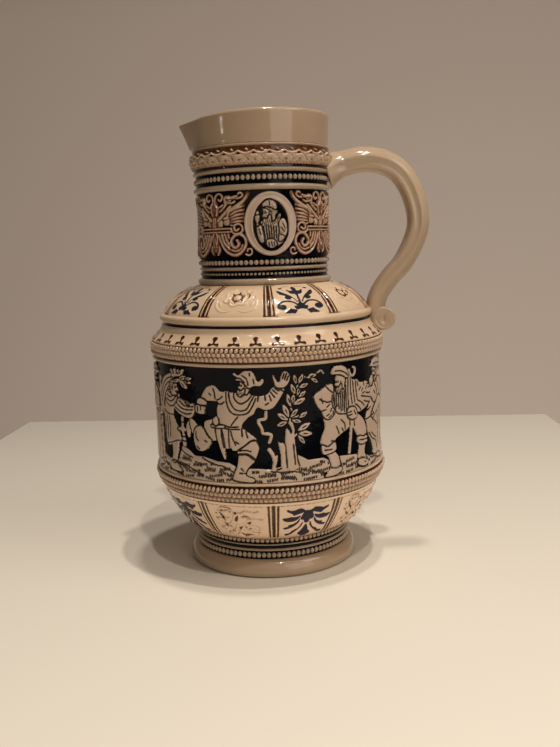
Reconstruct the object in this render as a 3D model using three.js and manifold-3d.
// Relief-moulded stoneware jug: stacked wall courses, applied bead and rope bands, relief figures,
// neck medallions, a pouring lip and a handle with a curled foot.
// Millimetres, +Z up, origin at the centre of the foot's underside; +X points to the handle, -X to the lip.

import * as THREE from 'three';
import { mergeVertices } from 'three/addons/utils/BufferGeometryUtils.js';
import Module from 'manifold-3d';

// Heights of the courses, stacked from the foot up
const footHeight = 10.9;
const baseHeight = 5.3;
const waistHeight = 9.8;
const bowlHeight = 27.8;
const lowerRopeHeight = 11.1;
const filletHeight = 2.4;
const friezeHeight = 68.9;
const upperRopeHeight = 9;
const flareHeight = 12.1;
const shoulderRollHeight = 5.2;
const domeHeight = 17.4;
const neckRollHeight = 4;
const neckGrooveHeight = 7.2;
const lowerBeadHeight = 5.6;
const panelHeight = 40.8;
const neckFilletHeight = 2.6;
const upperBeadHeight = 7.9;
const collarBaseHeight = 1.9;
const waveHeight = 12.9;
const collarFilletHeight = 1.6;
const collarHeight = 21;

// Outer radii: foot, belly and neck, and the others set out from these three
const footRadius = 55.3;
const bellyRadius = 74;
const neckRadius = 42.3;
const footSoleRadius = footRadius - 4.8;
const baseRadius = footRadius - 4.9;
const bowlFootRadius = baseRadius + 5;
const bowlTopRadius = bellyRadius - 1.4;
const bowlBulgeRadius = bowlFootRadius + (bowlTopRadius - bowlFootRadius) * 0.57;
const filletRadius = bellyRadius + 2;
const flareTopRadius = bellyRadius - 5.8;
const shoulderRollRadius = flareTopRadius + 1.5;
const domeFootRadius = shoulderRollRadius - 2.4;
const neckRollRadius = neckRadius + 1.3;
const domeBulgeRadius = neckRollRadius + (domeFootRadius - neckRollRadius) * 0.7;
const grooveRadius = neckRadius - 1.1;
const neckFilletRadius = neckRadius + 1.9;
const collarRadius = neckRadius + 0.7;
const rimRadius = collarRadius + 0.9;

// Walls, seats and the thickness of what is applied to them
const wall = 5;
const rimWall = 4;
const lute = 0.3;
const footRingInner = footSoleRadius - 6.5;
const floorThickness = 9;
const figureRelief = 1.9;
const groundRelief = 1.1;
const beadRelief = 1.5;
const beadHollow = 0.8;
const footBeadHeight = 3.3;
const lowerNeckBeadHeight = 3.4;
const upperNeckBeadHeight = 3.2;
const ropeRelief = 3;
const ropeTwist = 0.8;
const strandSlant = 1.8;
const waveRelief = 2.6;
const waveCrest = 8.5;
const waveTrough = 3.9;
const waveSwell = 1;
const panelRelief = 1.8;

// Counts round the jug
const facets = 30;
const footBeads = 104;
const lowerNeckBeads = 84;
const upperNeckBeads = 82;
const ropeStrands = 48;
const waves = 30;
const medallions = 2;
const friezeSets = 2;

// Medallions with a griffin panel on each side, lip and handle
const medallionBearing = 6.5;
const panelTurn = 50.3;
const medallionHalfWidth = 16.4;
const medallionHalfHeight = 19.1;
const medallionBorder = 5.8;
const lipHalfAngle = 30;
const lipReach = 8.2;
const lipFootReach = 2.4;
const lipDrop = 4.6;
const handleTopThickness = 15.6;
const handleFootThickness = 12.8;
const handleTopWidth = 20;
const handleFootWidth = 17;
const handleOverhang = 32.5;
const curlRadius = 8.9;
const curlWidth = 17.4;
const dimpleRadius = 2.2;

// Levels that follow from the heights
const baseFoot = footHeight;
const waistFoot = baseFoot + baseHeight;
const bowlFoot = waistFoot + waistHeight;
const lowerRopeFoot = bowlFoot + bowlHeight;
const lowerFilletFoot = lowerRopeFoot + lowerRopeHeight;
const friezeFoot = lowerFilletFoot + filletHeight;
const upperFilletFoot = friezeFoot + friezeHeight;
const upperRopeFoot = upperFilletFoot + filletHeight;
const flareFoot = upperRopeFoot + upperRopeHeight;
const shoulderRollFoot = flareFoot + flareHeight;
const domeFoot = shoulderRollFoot + shoulderRollHeight;
const neckFoot = domeFoot + domeHeight;
const neckGrooveFoot = neckFoot + neckRollHeight;
const lowerBeadFoot = neckGrooveFoot + neckGrooveHeight;
const panelFoot = lowerBeadFoot + lowerBeadHeight;
const neckFilletFoot = panelFoot + panelHeight;
const upperBeadFoot = neckFilletFoot + neckFilletHeight;
const collarBaseFoot = upperBeadFoot + upperBeadHeight;
const waveFoot = collarBaseFoot + collarBaseHeight;
const collarFilletFoot = waveFoot + waveHeight;
const collarFoot = collarFilletFoot + collarFilletHeight;
const rimTop = collarFoot + collarHeight;

// Radii that follow from the walls
const bellyInner = bellyRadius - wall;
const flareInner = flareTopRadius - wall - 1;
const neckInner = neckRadius - wall + 0.5;
const rimInner = rimRadius - rimWall - 0.5;
const rebate = 0.4;

const wasm = await Module();
wasm.setup();

const glaze = (color, roughness) => new THREE.MeshStandardMaterial({ color, roughness, metalness: 0 });
const creamGlaze = glaze(0xd9c8a6, 0.25);
const collarGlaze = glaze(0xcdb994, 0.22);
const cobaltGlaze = glaze(0x14182c, 0.18);
const brownWash = glaze(0xa8835c, 0.35);

const jug = new THREE.Group();
const radians = THREE.MathUtils.degToRad;

// Joins the shared corners, drops the slivers that close on the axis and turns the faces outwards
function closed(geometry) {
  const bare = new THREE.BufferGeometry();
  bare.setAttribute('position', geometry.getAttribute('position').clone());
  if (geometry.index) bare.setIndex(geometry.index.clone());
  const welded = mergeVertices(bare, 1e-4);
  const index = welded.index.array;
  const kept = [];
  for (let i = 0; i < index.length; i += 3) {
    const [a, b, c] = [index[i], index[i + 1], index[i + 2]];
    if (a !== b && b !== c && c !== a) kept.push(a, b, c);
  }
  if (signedVolume(welded, kept) < 0) kept.reverse();
  welded.setIndex(kept);
  return welded;
}

function signedVolume(geometry, index) {
  const position = geometry.getAttribute('position');
  const [a, b, c] = [new THREE.Vector3(), new THREE.Vector3(), new THREE.Vector3()];
  let volume = 0;
  for (let i = 0; i < index.length; i += 3) {
    a.fromBufferAttribute(position, index[i]);
    b.fromBufferAttribute(position, index[i + 1]);
    c.fromBufferAttribute(position, index[i + 2]);
    volume += a.dot(b.cross(c)) / 6;
  }
  return volume;
}

function solid(geometry) {
  const body = closed(geometry);
  const vertProperties = new Float32Array(body.getAttribute('position').array);
  const triVerts = new Uint32Array(body.index.array);
  return new wasm.Manifold(new wasm.Mesh({ numProp: 3, vertProperties, triVerts }));
}

function shape(body) {
  const mesh = body.getMesh();
  const geometry = new THREE.BufferGeometry();
  geometry.setAttribute('position', new THREE.BufferAttribute(mesh.vertProperties, mesh.numProp));
  geometry.setIndex(new THREE.BufferAttribute(mesh.triVerts, 1));
  return geometry;
}

function place(name, geometry, material) {
  const mesh = new THREE.Mesh(closed(geometry), material);
  mesh.geometry.computeVertexNormals();
  mesh.name = name;
  jug.add(mesh);
}

// A closed [radius, height] profile turned round the jug's axis
function turned(profile, segments = facets) {
  const points = [...profile, profile[0]].map(([r, z]) => new THREE.Vector2(r, z));
  return new THREE.LatheGeometry(points, segments).rotateX(Math.PI / 2);
}

// Rings of equal length joined side to side: round the axis back to the first, or capped at both ends
function lofted(rings, roundTrip) {
  const size = rings[0].length;
  const corners = rings.flat();
  const index = [];
  const spans = roundTrip ? rings.length : rings.length - 1;
  for (let i = 0; i < spans; i += 1) {
    const here = i * size;
    const next = ((i + 1) % rings.length) * size;
    for (let j = 0; j < size; j += 1) {
      const k = (j + 1) % size;
      index.push(here + j, here + k, next + k, here + j, next + k, next + j);
    }
  }
  if (!roundTrip) {
    const last = (rings.length - 1) * size;
    for (let j = 1; j < size - 1; j += 1) {
      index.push(0, j + 1, j, last, last + j, last + j + 1);
    }
  }
  return new THREE.BufferGeometry().setFromPoints(corners).setIndex(index);
}

// A point on the jug at a bearing in radians, counted from the front, -Y, towards the handle, +X
const onJug = (bearing, r, z) => new THREE.Vector3(r * Math.sin(bearing), -r * Math.cos(bearing), z);

// A band whose [radius, height] section changes from step to step round the jug
function banded(steps, section, start = 0) {
  const rings = Array.from({ length: steps }, (unused, i) => {
    const bearing = start + (i / steps) * 2 * Math.PI;
    return section(i, bearing).map(([r, z]) => onJug(bearing, r, z));
  });
  return lofted(rings, true);
}

function arc(start, bulge, end, steps) {
  const [a, b, c] = [start, bulge, end].map(([r, z]) => new THREE.Vector2(r, z));
  return new THREE.QuadraticBezierCurve(a, b, c).getPoints(steps).map(({ x, y }) => [x, y]);
}

// Outer profiles of the wall courses, from the foot up
const footOutline = [
  [footSoleRadius, 0], [footRadius - 2, footHeight * 0.12], [footRadius, footHeight * 0.45],
  [footRadius - 1.2, footHeight * 0.8], [baseRadius + 1.4, footHeight],
];
const baseOutline = [[baseRadius, baseFoot], [baseRadius, waistFoot]];
const waistOutline = [
  [baseRadius + 0.9, waistFoot], [baseRadius - 0.1, waistFoot + 2.4], [baseRadius + 1.3, waistFoot + 4],
  [baseRadius + 0.3, waistFoot + 5], [baseRadius + 1.5, waistFoot + 7], [baseRadius + 0.8, bowlFoot - 0.8],
];
const bowlOutline = arc([bowlFootRadius, bowlFoot], [bowlBulgeRadius, bowlFoot + bowlHeight * 0.36],
  [bowlTopRadius, lowerRopeFoot], 4);
const lowerRopeSeat = [
  [bowlTopRadius, lowerRopeFoot], [bellyRadius, lowerRopeFoot + 2], [bellyRadius, lowerFilletFoot],
];
const bellyOutline = [
  [filletRadius, lowerFilletFoot + filletHeight / 2], [bellyRadius, friezeFoot],
  [bellyRadius, upperFilletFoot], [filletRadius, upperFilletFoot + filletHeight / 2],
  [bellyRadius, upperRopeFoot], [bellyRadius, flareFoot],
];
const flareOutline = [
  ...arc([filletRadius, flareFoot], [(filletRadius + flareTopRadius) / 2 - 1, flareFoot + flareHeight * 0.44],
    [flareTopRadius, shoulderRollFoot - 1.5], 3),
  [flareTopRadius - 1, shoulderRollFoot], [shoulderRollRadius, shoulderRollFoot + shoulderRollHeight * 0.3],
  [shoulderRollRadius, shoulderRollFoot + shoulderRollHeight * 0.7], [domeFootRadius, domeFoot],
];
const domeOutline = arc([domeFootRadius, domeFoot], [domeBulgeRadius, domeFoot + domeHeight * 0.78],
  [neckRollRadius + 1, neckFoot], 4);
const neckOutline = [
  [neckRollRadius - 0.8, neckFoot], [neckRollRadius, neckFoot + neckRollHeight / 2],
  [neckRollRadius - 0.8, neckGrooveFoot], [grooveRadius, neckGrooveFoot + rebate],
  [grooveRadius, lowerBeadFoot - 2.4], [neckRadius, lowerBeadFoot - 1.2],
  [grooveRadius, lowerBeadFoot], [grooveRadius, panelFoot - rebate],
  [neckRadius, panelFoot], [neckRadius, neckFilletFoot],
  [neckFilletRadius, neckFilletFoot + neckFilletHeight / 2], [neckRadius, upperBeadFoot],
  [neckRadius, collarBaseFoot - rebate],
  [neckFilletRadius, collarBaseFoot], [neckFilletRadius, waveFoot],
];
const collarOutline = [
  [collarRadius, waveFoot], [collarRadius, collarFilletFoot - rebate],
  [rimRadius, (collarFilletFoot + collarFoot) / 2], [collarRadius, collarFoot],
  [rimRadius, rimTop - 2.5], [rimRadius - 0.8, rimTop - rebate],
  [rimRadius - rimWall / 2, rimTop], [rimInner + 0.6, rimTop - 1],
];

// Inner profiles, read from the top of each course down
const bowlInside = arc([bellyInner - 1, lowerRopeFoot], [bowlBulgeRadius - 6.8, bowlFoot + bowlHeight * 0.3],
  [baseRadius - wall, waistFoot], 3);
const bellyInside = [[bellyInner, flareFoot], [bellyInner, lowerFilletFoot], [bellyInner - 1, lowerRopeFoot]];
const flareInside = [
  [domeFootRadius - wall, domeFoot], [flareInner, shoulderRollFoot], [bellyInner, flareFoot],
];
const domeInside = arc([neckInner, neckFoot], [domeBulgeRadius - wall - 2, domeFoot + domeHeight * 0.7],
  [domeFootRadius - wall, domeFoot], 3);
const neckInside = [[neckInner, waveFoot], [neckInner, neckFoot]];
const collarInside = [[rimInner, rimTop - 4], [neckInner, waveFoot]];

// Wall courses
function makeWalls() {
  const footInside = [[footRingInner, footHeight], [footRingInner, 0]];
  place('foot_ring', turned([...footOutline, ...footInside]), collarGlaze);

  const spigot = footRingInner - lute;
  const disc = [
    [0, 0], [spigot, 0], [spigot, baseFoot], ...baseOutline,
    [baseRadius - wall, waistFoot], [baseRadius - 2 * wall, floorThickness], [0, floorThickness],
  ];
  place('base_disc', turned(disc), cobaltGlaze);

  place('lower_bowl', turned([...waistOutline, ...bowlOutline, ...bowlInside]), creamGlaze);
  place('belly_wall', turned([...lowerRopeSeat, ...bellyOutline, ...bellyInside]), cobaltGlaze);
  place('shoulder_flare', turned([...flareOutline, ...flareInside]), creamGlaze);
  place('shoulder_dome', turned([...domeOutline, ...domeInside]), creamGlaze);
  place('neck_wall', turned([...neckOutline, ...neckInside]), cobaltGlaze);
}

// How far the lip's wall stands from the axis at a turn from -X: two tangents that meet at the tip
function lipRadius(turn, radius, reach) {
  const half = Math.min(radians(lipHalfAngle), Math.acos(radius / (radius + reach)));
  if (Math.abs(turn) >= half) return radius;
  const side = new THREE.Vector2(radius * Math.sin(half), radius * Math.cos(half));
  const edge = new THREE.Vector2(0, radius + reach).sub(side);
  const ray = new THREE.Vector2(Math.sin(Math.abs(turn)), Math.cos(turn));
  return Math.min(side.cross(edge) / ray.cross(edge), radius + reach - 0.6);
}

// The collar leaves a gap of the lip's width, and the lip fills it
function makeRim() {
  const wedge = new THREE.Shape();
  const far = rimRadius + lipReach + wall;
  const half = radians(lipHalfAngle);
  wedge.moveTo(0, 0);
  wedge.lineTo(-far * Math.cos(half), -far * Math.sin(half));
  wedge.lineTo(-far * 1.5, 0);
  wedge.lineTo(-far * Math.cos(half), far * Math.sin(half));
  const gap = new THREE.ExtrudeGeometry(wedge, { depth: collarHeight + wall, bevelEnabled: false });
  gap.translate(0, 0, collarFoot);
  const collar = solid(turned([...collarOutline, ...collarInside])).subtract(solid(gap));
  place('rim_collar', shape(collar), collarGlaze);

  const foot = collarFoot + lute;
  const steps = 12;
  const rings = Array.from({ length: steps + 1 }, (unused, i) => {
    const share = (2 * i) / steps - 1;
    const turn = share * (half - lute / rimRadius);
    const top = rimTop - lipDrop * (1 - Math.abs(share)) ** 1.2;
    const outer = (z) => lipRadius(turn, THREE.MathUtils.mapLinear(z, foot, rimTop, collarRadius, rimRadius),
      THREE.MathUtils.mapLinear(z, foot, rimTop - lipDrop, lipFootReach, lipReach));
    const inner = (z) => lipRadius(turn, rimInner, THREE.MathUtils.mapLinear(z, foot, rimTop, 0.1, lipReach));
    const middle = (foot + top) / 2;
    const section = [
      [outer(foot), foot], [outer(middle), middle], [outer(top - 1.2), top - 1.2], [outer(top) - 1, top],
      [inner(top) + 1, top], [inner(top - 1.2), top - 1.2], [inner(foot), foot],
    ];
    return section.map(([r, z]) => onJug(-Math.PI / 2 + turn, r, z));
  });
  place('pouring_lip', lofted(rings, false), collarGlaze);
}

// A row of beads: the tip of the section comes forward at each bead and falls back between them
function beadRow(name, count, radius, middle, height) {
  const row = banded(count * 2, (i) => [
    [radius + lute, middle - height / 2], [radius + lute, middle + height / 2],
    [radius + beadRelief - (i % 2 ? beadHollow : 0), middle],
  ]);
  place(name, row, creamGlaze);
}

// A rope: its crest swings up and down from strand to strand, so that the strands slant
function ropeBand(name, radius, foot, height) {
  const middle = foot + height / 2;
  const band = banded(ropeStrands * 2, (i) => {
    const crest = [radius + ropeRelief - ropeTwist * (i % 2), middle + (i % 2 ? strandSlant : -strandSlant)];
    return [[radius + lute, foot + lute], crest, [radius + lute, foot + height - lute]];
  });
  place(name, band, creamGlaze);
}

function makeBands() {
  beadRow('foot_bead_row', footBeads, baseRadius, baseFoot + baseHeight / 2, footBeadHeight);
  beadRow('lower_neck_bead_row', lowerNeckBeads, grooveRadius, lowerBeadFoot + lowerBeadHeight / 2,
    lowerNeckBeadHeight);
  beadRow('upper_neck_bead_row', upperNeckBeads, neckRadius, upperBeadFoot + upperBeadHeight * 0.6,
    upperNeckBeadHeight);
  ropeBand('lower_rope_band', bellyRadius, lowerRopeFoot + 2, lowerRopeHeight - 2);
  ropeBand('upper_rope_band', bellyRadius, upperRopeFoot, upperRopeHeight);

  const band = banded(waves * 2, (i) => {
    const swell = i % 2 ? 0 : waveSwell;
    const front = collarRadius + waveRelief;
    return [
      [collarRadius + lute, waveFoot + 1], [front - swell, waveFoot + waveTrough],
      [front - waveSwell + swell, waveFoot + waveCrest], [collarRadius + lute, waveFoot + waveHeight - 1.4],
    ];
  }, radians(medallionBearing));
  place('wave_band', band, creamGlaze);
}

// Relief of the belly, drawn on a grid over half of the wall: as wide as the ground line and 69 units high
const gridHeight = 69;
const figures = {
  pilgrim: [
    [-104, 66.7], [-98, 66.9], [-93, 64.1], [-94.6, 58.7], [-88.4, 48.7], [-88.2, 40.7], [-91.6, 36.7],
    [-88.4, 6.3], [-86.6, 2.7], [-106, 2.7], [-112, 4.7], [-108.6, 34.7], [-112, 42.7], [-110, 51.7],
    [-105.6, 56.7],
  ],
  woman: [
    [-62.6, 67.1], [-60, 63.7], [-56.6, 66.9], [-58, 62.9], [-51, 62.1], [-50.8, 58.7], [-54.4, 58.7],
    [-53.8, 54.9], [-58, 57.2], [-60.6, 50.3], [-48.2, 46.7], [-48, 41.3], [-50.8, 37.7], [-55.6, 37.3],
    [-67.4, 42.3], [-69.6, 37.3], [-61.4, 22.7], [-67.2, 8.7], [-62.4, 2.3], [-72, 2.7], [-74, 5.1],
    [-71.4, 12.7], [-72, 20.7], [-79, 36.7], [-84, 36.7], [-86, 43.7], [-83, 53.7], [-77, 60.7],
    [-71.6, 61.7], [-70.8, 66.1],
  ],
  dancer: [
    [-20.8, 66], [-18, 64.3], [-10.2, 67.1], [-6.8, 60.9], [-3.8, 62.5], [-4.6, 58.5], [-9, 58.7],
    [-11.6, 55.7], [-10.8, 53.1], [-6.4, 52.5], [-1.6, 52.9], [4.2, 57.9], [2.4, 63.9], [5.6, 59.9],
    [10.4, 66.7], [13, 64.3], [1.8, 44.9], [-7, 45.7], [-17, 34.3], [-8.6, 26.9], [-6.4, 21.5],
    [-8.4, 14.7], [-15.6, 5.3], [-10.4, 2.5], [-10.8, 0.5], [-22.8, 1.7], [-19.2, 19.5], [-28, 20.7],
    [-29.4, 25.7], [-27, 14.9], [-28.6, 14.5], [-31.6, 24.1], [-35.8, 24.7], [-42.6, 17.9], [-47, 18.1],
    [-52.4, 29.7], [-53.8, 25.5], [-55.4, 26.3], [-56.2, 32.1], [-53.6, 36.3], [-42, 32.3],
    [-41.2, 36.3], [-32.2, 38.9], [-31.4, 48.9], [-39.6, 48.9], [-40.2, 40.9], [-47.2, 41.7],
    [-47.2, 45.9], [-36.4, 58.1], [-29.6, 54.7], [-20.4, 54.5],
  ],
  tree: [
    [9.2, 30.3], [12.6, 28.9], [12.8, 32.3], [11, 35.9], [4.6, 33.9], [9.4, 37.3], [5, 41.9],
    [11, 39.1], [8.6, 46.9], [12.2, 41.3], [10.6, 52.5], [14.6, 52.7], [13.6, 58.7], [16, 57.1],
    [16.8, 64.3], [18.6, 61.7], [21, 64.3], [21.2, 59.9], [34, 65.1], [29.6, 58.3], [22.6, 58.7],
    [21.4, 50.7], [18.8, 50.5], [21.8, 49.1], [14.4, 45.7], [17.4, 43.5], [16.4, 40.7], [22.8, 41.1],
    [14.2, 31.1], [24.6, 34.3], [20.2, 30.3], [25.4, 28.7], [20, 26.9], [21.2, 22.9], [14.8, 25.7],
    [17.2, 10.1], [5.4, 9.3], [4.6, 24.5], [7.8, 23.3], [9, 16.7],
  ],
  walker: [
    [40, 63.7], [41.6, 66.5], [49.6, 65.9], [55, 59.7], [53.4, 63.7], [57.4, 60.1], [58.4, 65.3],
    [60, 60.3], [56.4, 57.1], [71.6, 54.3], [78.6, 47.3], [78, 43.5], [70, 38.1], [60.4, 35.9],
    [68.2, 29.7], [70.4, 24.3], [67.8, 9.9], [72.6, 3.3], [68, 1.1], [61, 3.1], [61.6, 19.3],
    [56.6, 27.7], [54.4, 12.7], [52.2, 12.7], [53.8, 28.7], [41.4, 21.7], [41, 15.5], [46.4, 3.5],
    [42, 0.7], [33.4, 1.1], [38.4, 4.3], [36, 13.1], [32.2, 14.5], [31, 20.7], [34.6, 31.3],
    [26.8, 50.5], [40.4, 57.3],
  ],
  elder: [
    [80, 65.7], [92, 67.1], [101, 64.3], [97.4, 58.7], [104.4, 49.7], [103, 39.7], [99, 37.1],
    [97.6, 27.7], [98, 5.7], [92, 2.1], [82, 5.7], [73.4, 20.7], [70.4, 31.3], [80, 43.7], [80.4, 48.1],
    [77.4, 53.7], [82, 56.1],
  ],
};
const groundLine = [
  [-118, 10.2], [-100, 12.5], [-88, 11.1], [-66, 9.3], [-61, 19.1], [-50.5, 14.1], [-43, 14.3],
  [-34, 12.3], [-20, 8.9], [0, 7.9], [17, 10.1], [33, 12.3], [40, 8.7], [45, 11.5], [62, 9.7],
  [78, 5.3], [90, 4.7], [118, 10.2],
];

const gridWidth = groundLine.at(-1)[0] - groundLine[0][0];
const gridAngle = Math.PI / gridWidth;
const gridRise = friezeHeight / gridHeight;

function groundTop(u) {
  const after = groundLine.findIndex(([x]) => x >= u);
  const [x1, v1] = groundLine[Math.max(after, 1)];
  const [x0, v0] = groundLine[Math.max(after, 1) - 1];
  return THREE.MathUtils.mapLinear(u, x0, x1, v0, v1) * gridRise;
}

// The hilly strip that the figures stand on; spare widens it into the room that the figures leave for it
function groundStrip(spare) {
  const steps = 48;
  return banded(steps, (i, bearing) => {
    const half = bearing / Math.PI;
    const u = (half - Math.round(half)) * gridWidth;
    const top = friezeFoot + groundTop(u) + spare;
    const inner = bellyRadius + lute - spare * 2;
    const outer = bellyRadius + groundRelief + spare;
    const foot = friezeFoot + lute - spare;
    return [[inner, foot], [outer, foot], [outer, top], [inner, top]];
  });
}

// An outline pressed through a ring: the part of the ring inside the outline, at its bearing
function sprig(outline, bearing, ring, radius) {
  const flat = new THREE.Shape(outline.map(([x, y]) => new THREE.Vector2(x, y)));
  const reach = radius * 0.45;
  const stamp = new THREE.ExtrudeGeometry(flat, { depth: reach, bevelEnabled: false });
  stamp.rotateX(Math.PI / 2).translate(0, -(radius + wall) + reach, 0).rotateZ(bearing);
  return ring.intersect(solid(stamp));
}

function makeFrieze() {
  place('ground_strip', groundStrip(0), creamGlaze);
  const ring = solid(turned([
    [bellyRadius + lute, friezeFoot], [bellyRadius + figureRelief, friezeFoot],
    [bellyRadius + figureRelief, upperFilletFoot], [bellyRadius + lute, upperFilletFoot],
  ]));
  const room = solid(groundStrip(lute));
  for (let set = 0; set < friezeSets; set += 1) {
    for (const [name, drawn] of Object.entries(figures)) {
      const span = drawn.map(([u]) => u);
      const middle = (Math.min(...span) + Math.max(...span)) / 2;
      const outline = drawn.map(([u, v]) => [
        bellyRadius * Math.sin((u - middle) * gridAngle), friezeFoot + v * gridRise,
      ]);
      const bearing = middle * gridAngle + (set * 2 * Math.PI) / friezeSets;
      const figure = sprig(outline, bearing, ring, bellyRadius).subtract(room);
      place(`${name}_${set + 1}`, shape(figure), creamGlaze);
    }
  }
}

// Relief of the neck, drawn in 41sts of the panel's height: half of a pair of griffins back to back over
// scrolled leaves, from the axis between them, and a bust from the middle of its medallion
const panelGridHeight = 41;
const griffinHalf = [
  [0, 33], [-1.2, 36.6], [-4, 39.6], [-7, 36.8], [-9.4, 38.2], [-17, 37.4], [-18.4, 39.9], [-21, 38.4],
  [-15.4, 34], [-13.8, 30.8], [-19.8, 34.4], [-24.2, 39.6], [-22.6, 35.2], [-19.6, 31.6], [-21, 22.4],
  [-17, 21.2], [-20, 17.8], [-19.4, 14.8], [-22.2, 11], [-20.6, 5], [-15.4, 1.8], [-9.8, 3.6], [-5, 8.4],
  [-1.4, 8], [0, 3.8],
];
const bust = [
  [-7.4, -6], [-6.6, -1.4], [-3.6, -0.6], [-5.4, 3.6], [-4.6, 8.4], [-4.4, 12], [0.6, 14.6], [4, 12],
  [4.6, 5], [4.2, 0.6], [8.4, 1.6], [9.8, -2.4], [8.6, -7], [0, -13.4],
];

function oval(halfWidth, halfHeight, count) {
  return Array.from({ length: count }, (unused, i) => {
    const turn = (i / count) * 2 * Math.PI;
    return [halfWidth * Math.cos(turn), halfHeight * Math.sin(turn)];
  });
}

function makeNeckPanels() {
  const rise = panelHeight / panelGridHeight;
  const ringOf = (inner, outer) => solid(turned([
    [neckRadius + inner, panelFoot], [neckRadius + outer, panelFoot],
    [neckRadius + outer, neckFilletFoot], [neckRadius + inner, neckFilletFoot],
  ]));
  const full = ringOf(lute, panelRelief);
  const well = ringOf(lute * 2, panelRelief + wall);
  const thick = ringOf(0, panelRelief + wall);
  const mirrored = griffinHalf.slice(1, -1).reverse().map(([u, v]) => [-u, v]);
  const griffins = [...griffinHalf, ...mirrored].map(([u, v]) => [
    neckRadius * Math.sin((u * rise) / neckRadius), panelFoot + v * rise,
  ]);
  const middle = panelFoot + panelHeight / 2;
  const lifted = (outline) => outline.map(([x, y]) => [x, y + middle]);
  const bustOutline = lifted(bust.map(([x, y]) => [x * rise, y * rise]));
  const rim = lifted(oval(medallionHalfWidth, medallionHalfHeight, 16));
  const bed = lifted(oval(medallionHalfWidth + lute, medallionHalfHeight + lute, 16));
  const wellHalfWidth = medallionHalfWidth - medallionBorder;
  const wellHalfHeight = medallionHalfHeight - medallionBorder * 0.8;
  const bowl = lifted(oval(wellHalfWidth, wellHalfHeight, 12));
  for (let i = 0; i < medallions; i += 1) {
    const bearing = radians(medallionBearing) + (i / medallions) * 2 * Math.PI;
    const plaque = sprig(rim, bearing, full, neckRadius);
    const hollow = sprig(bowl, bearing, well, neckRadius);
    const figure = sprig(bustOutline, bearing, full, neckRadius);
    place(`medallion_${i + 1}`, shape(plaque.subtract(hollow).add(figure)), creamGlaze);
    for (const [j, side] of [-1, 1].entries()) {
      const pair = sprig(griffins, bearing + side * radians(panelTurn), full, neckRadius);
      const clear = pair.subtract(sprig(bed, bearing, thick, neckRadius));
      place(`griffin_panel_${2 * i + j + 1}`, shape(clear), brownWash);
    }
  }
}

// Handle: a strap along a curve in the plane y = 0, with a curled foot on the shoulder roll
function makeHandle() {
  const rootZ = waveFoot + waveHeight * 0.12;
  const footZ = domeFoot + shoulderRollHeight;
  const reach = shoulderRollRadius + handleOverhang;
  const route = new THREE.CatmullRomCurve3([
    [-0.03, 0.99], [0.15, 1.014], [0.395, 1.055], [0.625, 1.029], [0.794, 0.96], [0.922, 0.833],
    [1, 0.66], [0.98, 0.5], [0.834, 0.29], [0.662, 0.155], [0.54, 0.036], [0.49, -0.071], [0.496, -0.167],
  ].map(([out, up]) => new THREE.Vector3(
    THREE.MathUtils.lerp(collarRadius, reach, out), 0, THREE.MathUtils.lerp(footZ, rootZ, up),
  )));
  const steps = 18;
  const sides = 10;
  const rings = Array.from({ length: steps + 1 }, (unused, i) => {
    const share = i / steps;
    const centre = route.getPointAt(share);
    const along = route.getTangentAt(share);
    const across = new THREE.Vector3(along.z, 0, -along.x);
    const flareOut = (handleTopWidth / 4) * Math.max(0, 1 - share * 9) ** 1.5;
    const thick = THREE.MathUtils.lerp(handleTopThickness, handleFootThickness, share) / 2 + flareOut;
    const wide = THREE.MathUtils.lerp(handleTopWidth, handleFootWidth, share) / 2 + flareOut;
    return Array.from({ length: sides }, (none, j) => {
      const turn = (j / sides) * 2 * Math.PI;
      const [c, s] = [Math.cos(turn), Math.sin(turn)];
      const soft = (value) => Math.sign(value) * Math.abs(value) ** 0.8;
      const aside = new THREE.Vector3(0, wide * soft(s), 0);
      return centre.clone().addScaledVector(across, thick * soft(c)).add(aside);
    });
  });
  const curlX = shoulderRollRadius + curlRadius * 0.9;
  const curlCentre = new THREE.Vector3(curlX, 0, shoulderRollFoot - curlRadius * 0.38);
  const curl = new THREE.CylinderGeometry(curlRadius, curlRadius, curlWidth, 16);
  curl.translate(curlCentre.x, 0, curlCentre.z);
  let handle = solid(lofted(rings, false)).add(solid(curl));
  for (const side of [-1, 1]) {
    const dimple = new THREE.SphereGeometry(dimpleRadius, 8, 6);
    dimple.translate(curlCentre.x, (side * curlWidth) / 2, curlCentre.z);
    handle = handle.subtract(solid(dimple));
  }
  const belt = (radius, foot, height) => [[radius, foot], [radius, foot + height]];
  const skin = [
    [0, upperRopeFoot], ...belt(bellyRadius + ropeRelief, upperRopeFoot, upperRopeHeight),
    ...flareOutline, ...domeOutline, [neckRadius, neckGrooveFoot],
    ...belt(neckFilletRadius, panelFoot, collarBaseFoot - panelFoot),
    ...belt(neckFilletRadius, collarBaseFoot, collarBaseHeight),
    ...belt(collarRadius + waveRelief + 0.2, waveFoot, waveHeight),
    ...belt(rimRadius, collarFilletFoot, wall),
  ].map(([r, z]) => [r > 0 ? r + lute : 0, z]);
  const room = solid(turned([...skin, [0, collarFilletFoot + wall]]));
  place('handle', shape(handle.subtract(room)), collarGlaze);
}

makeWalls();
makeRim();
makeBands();
makeFrieze();
makeNeckPanels();
makeHandle();

export default jug;
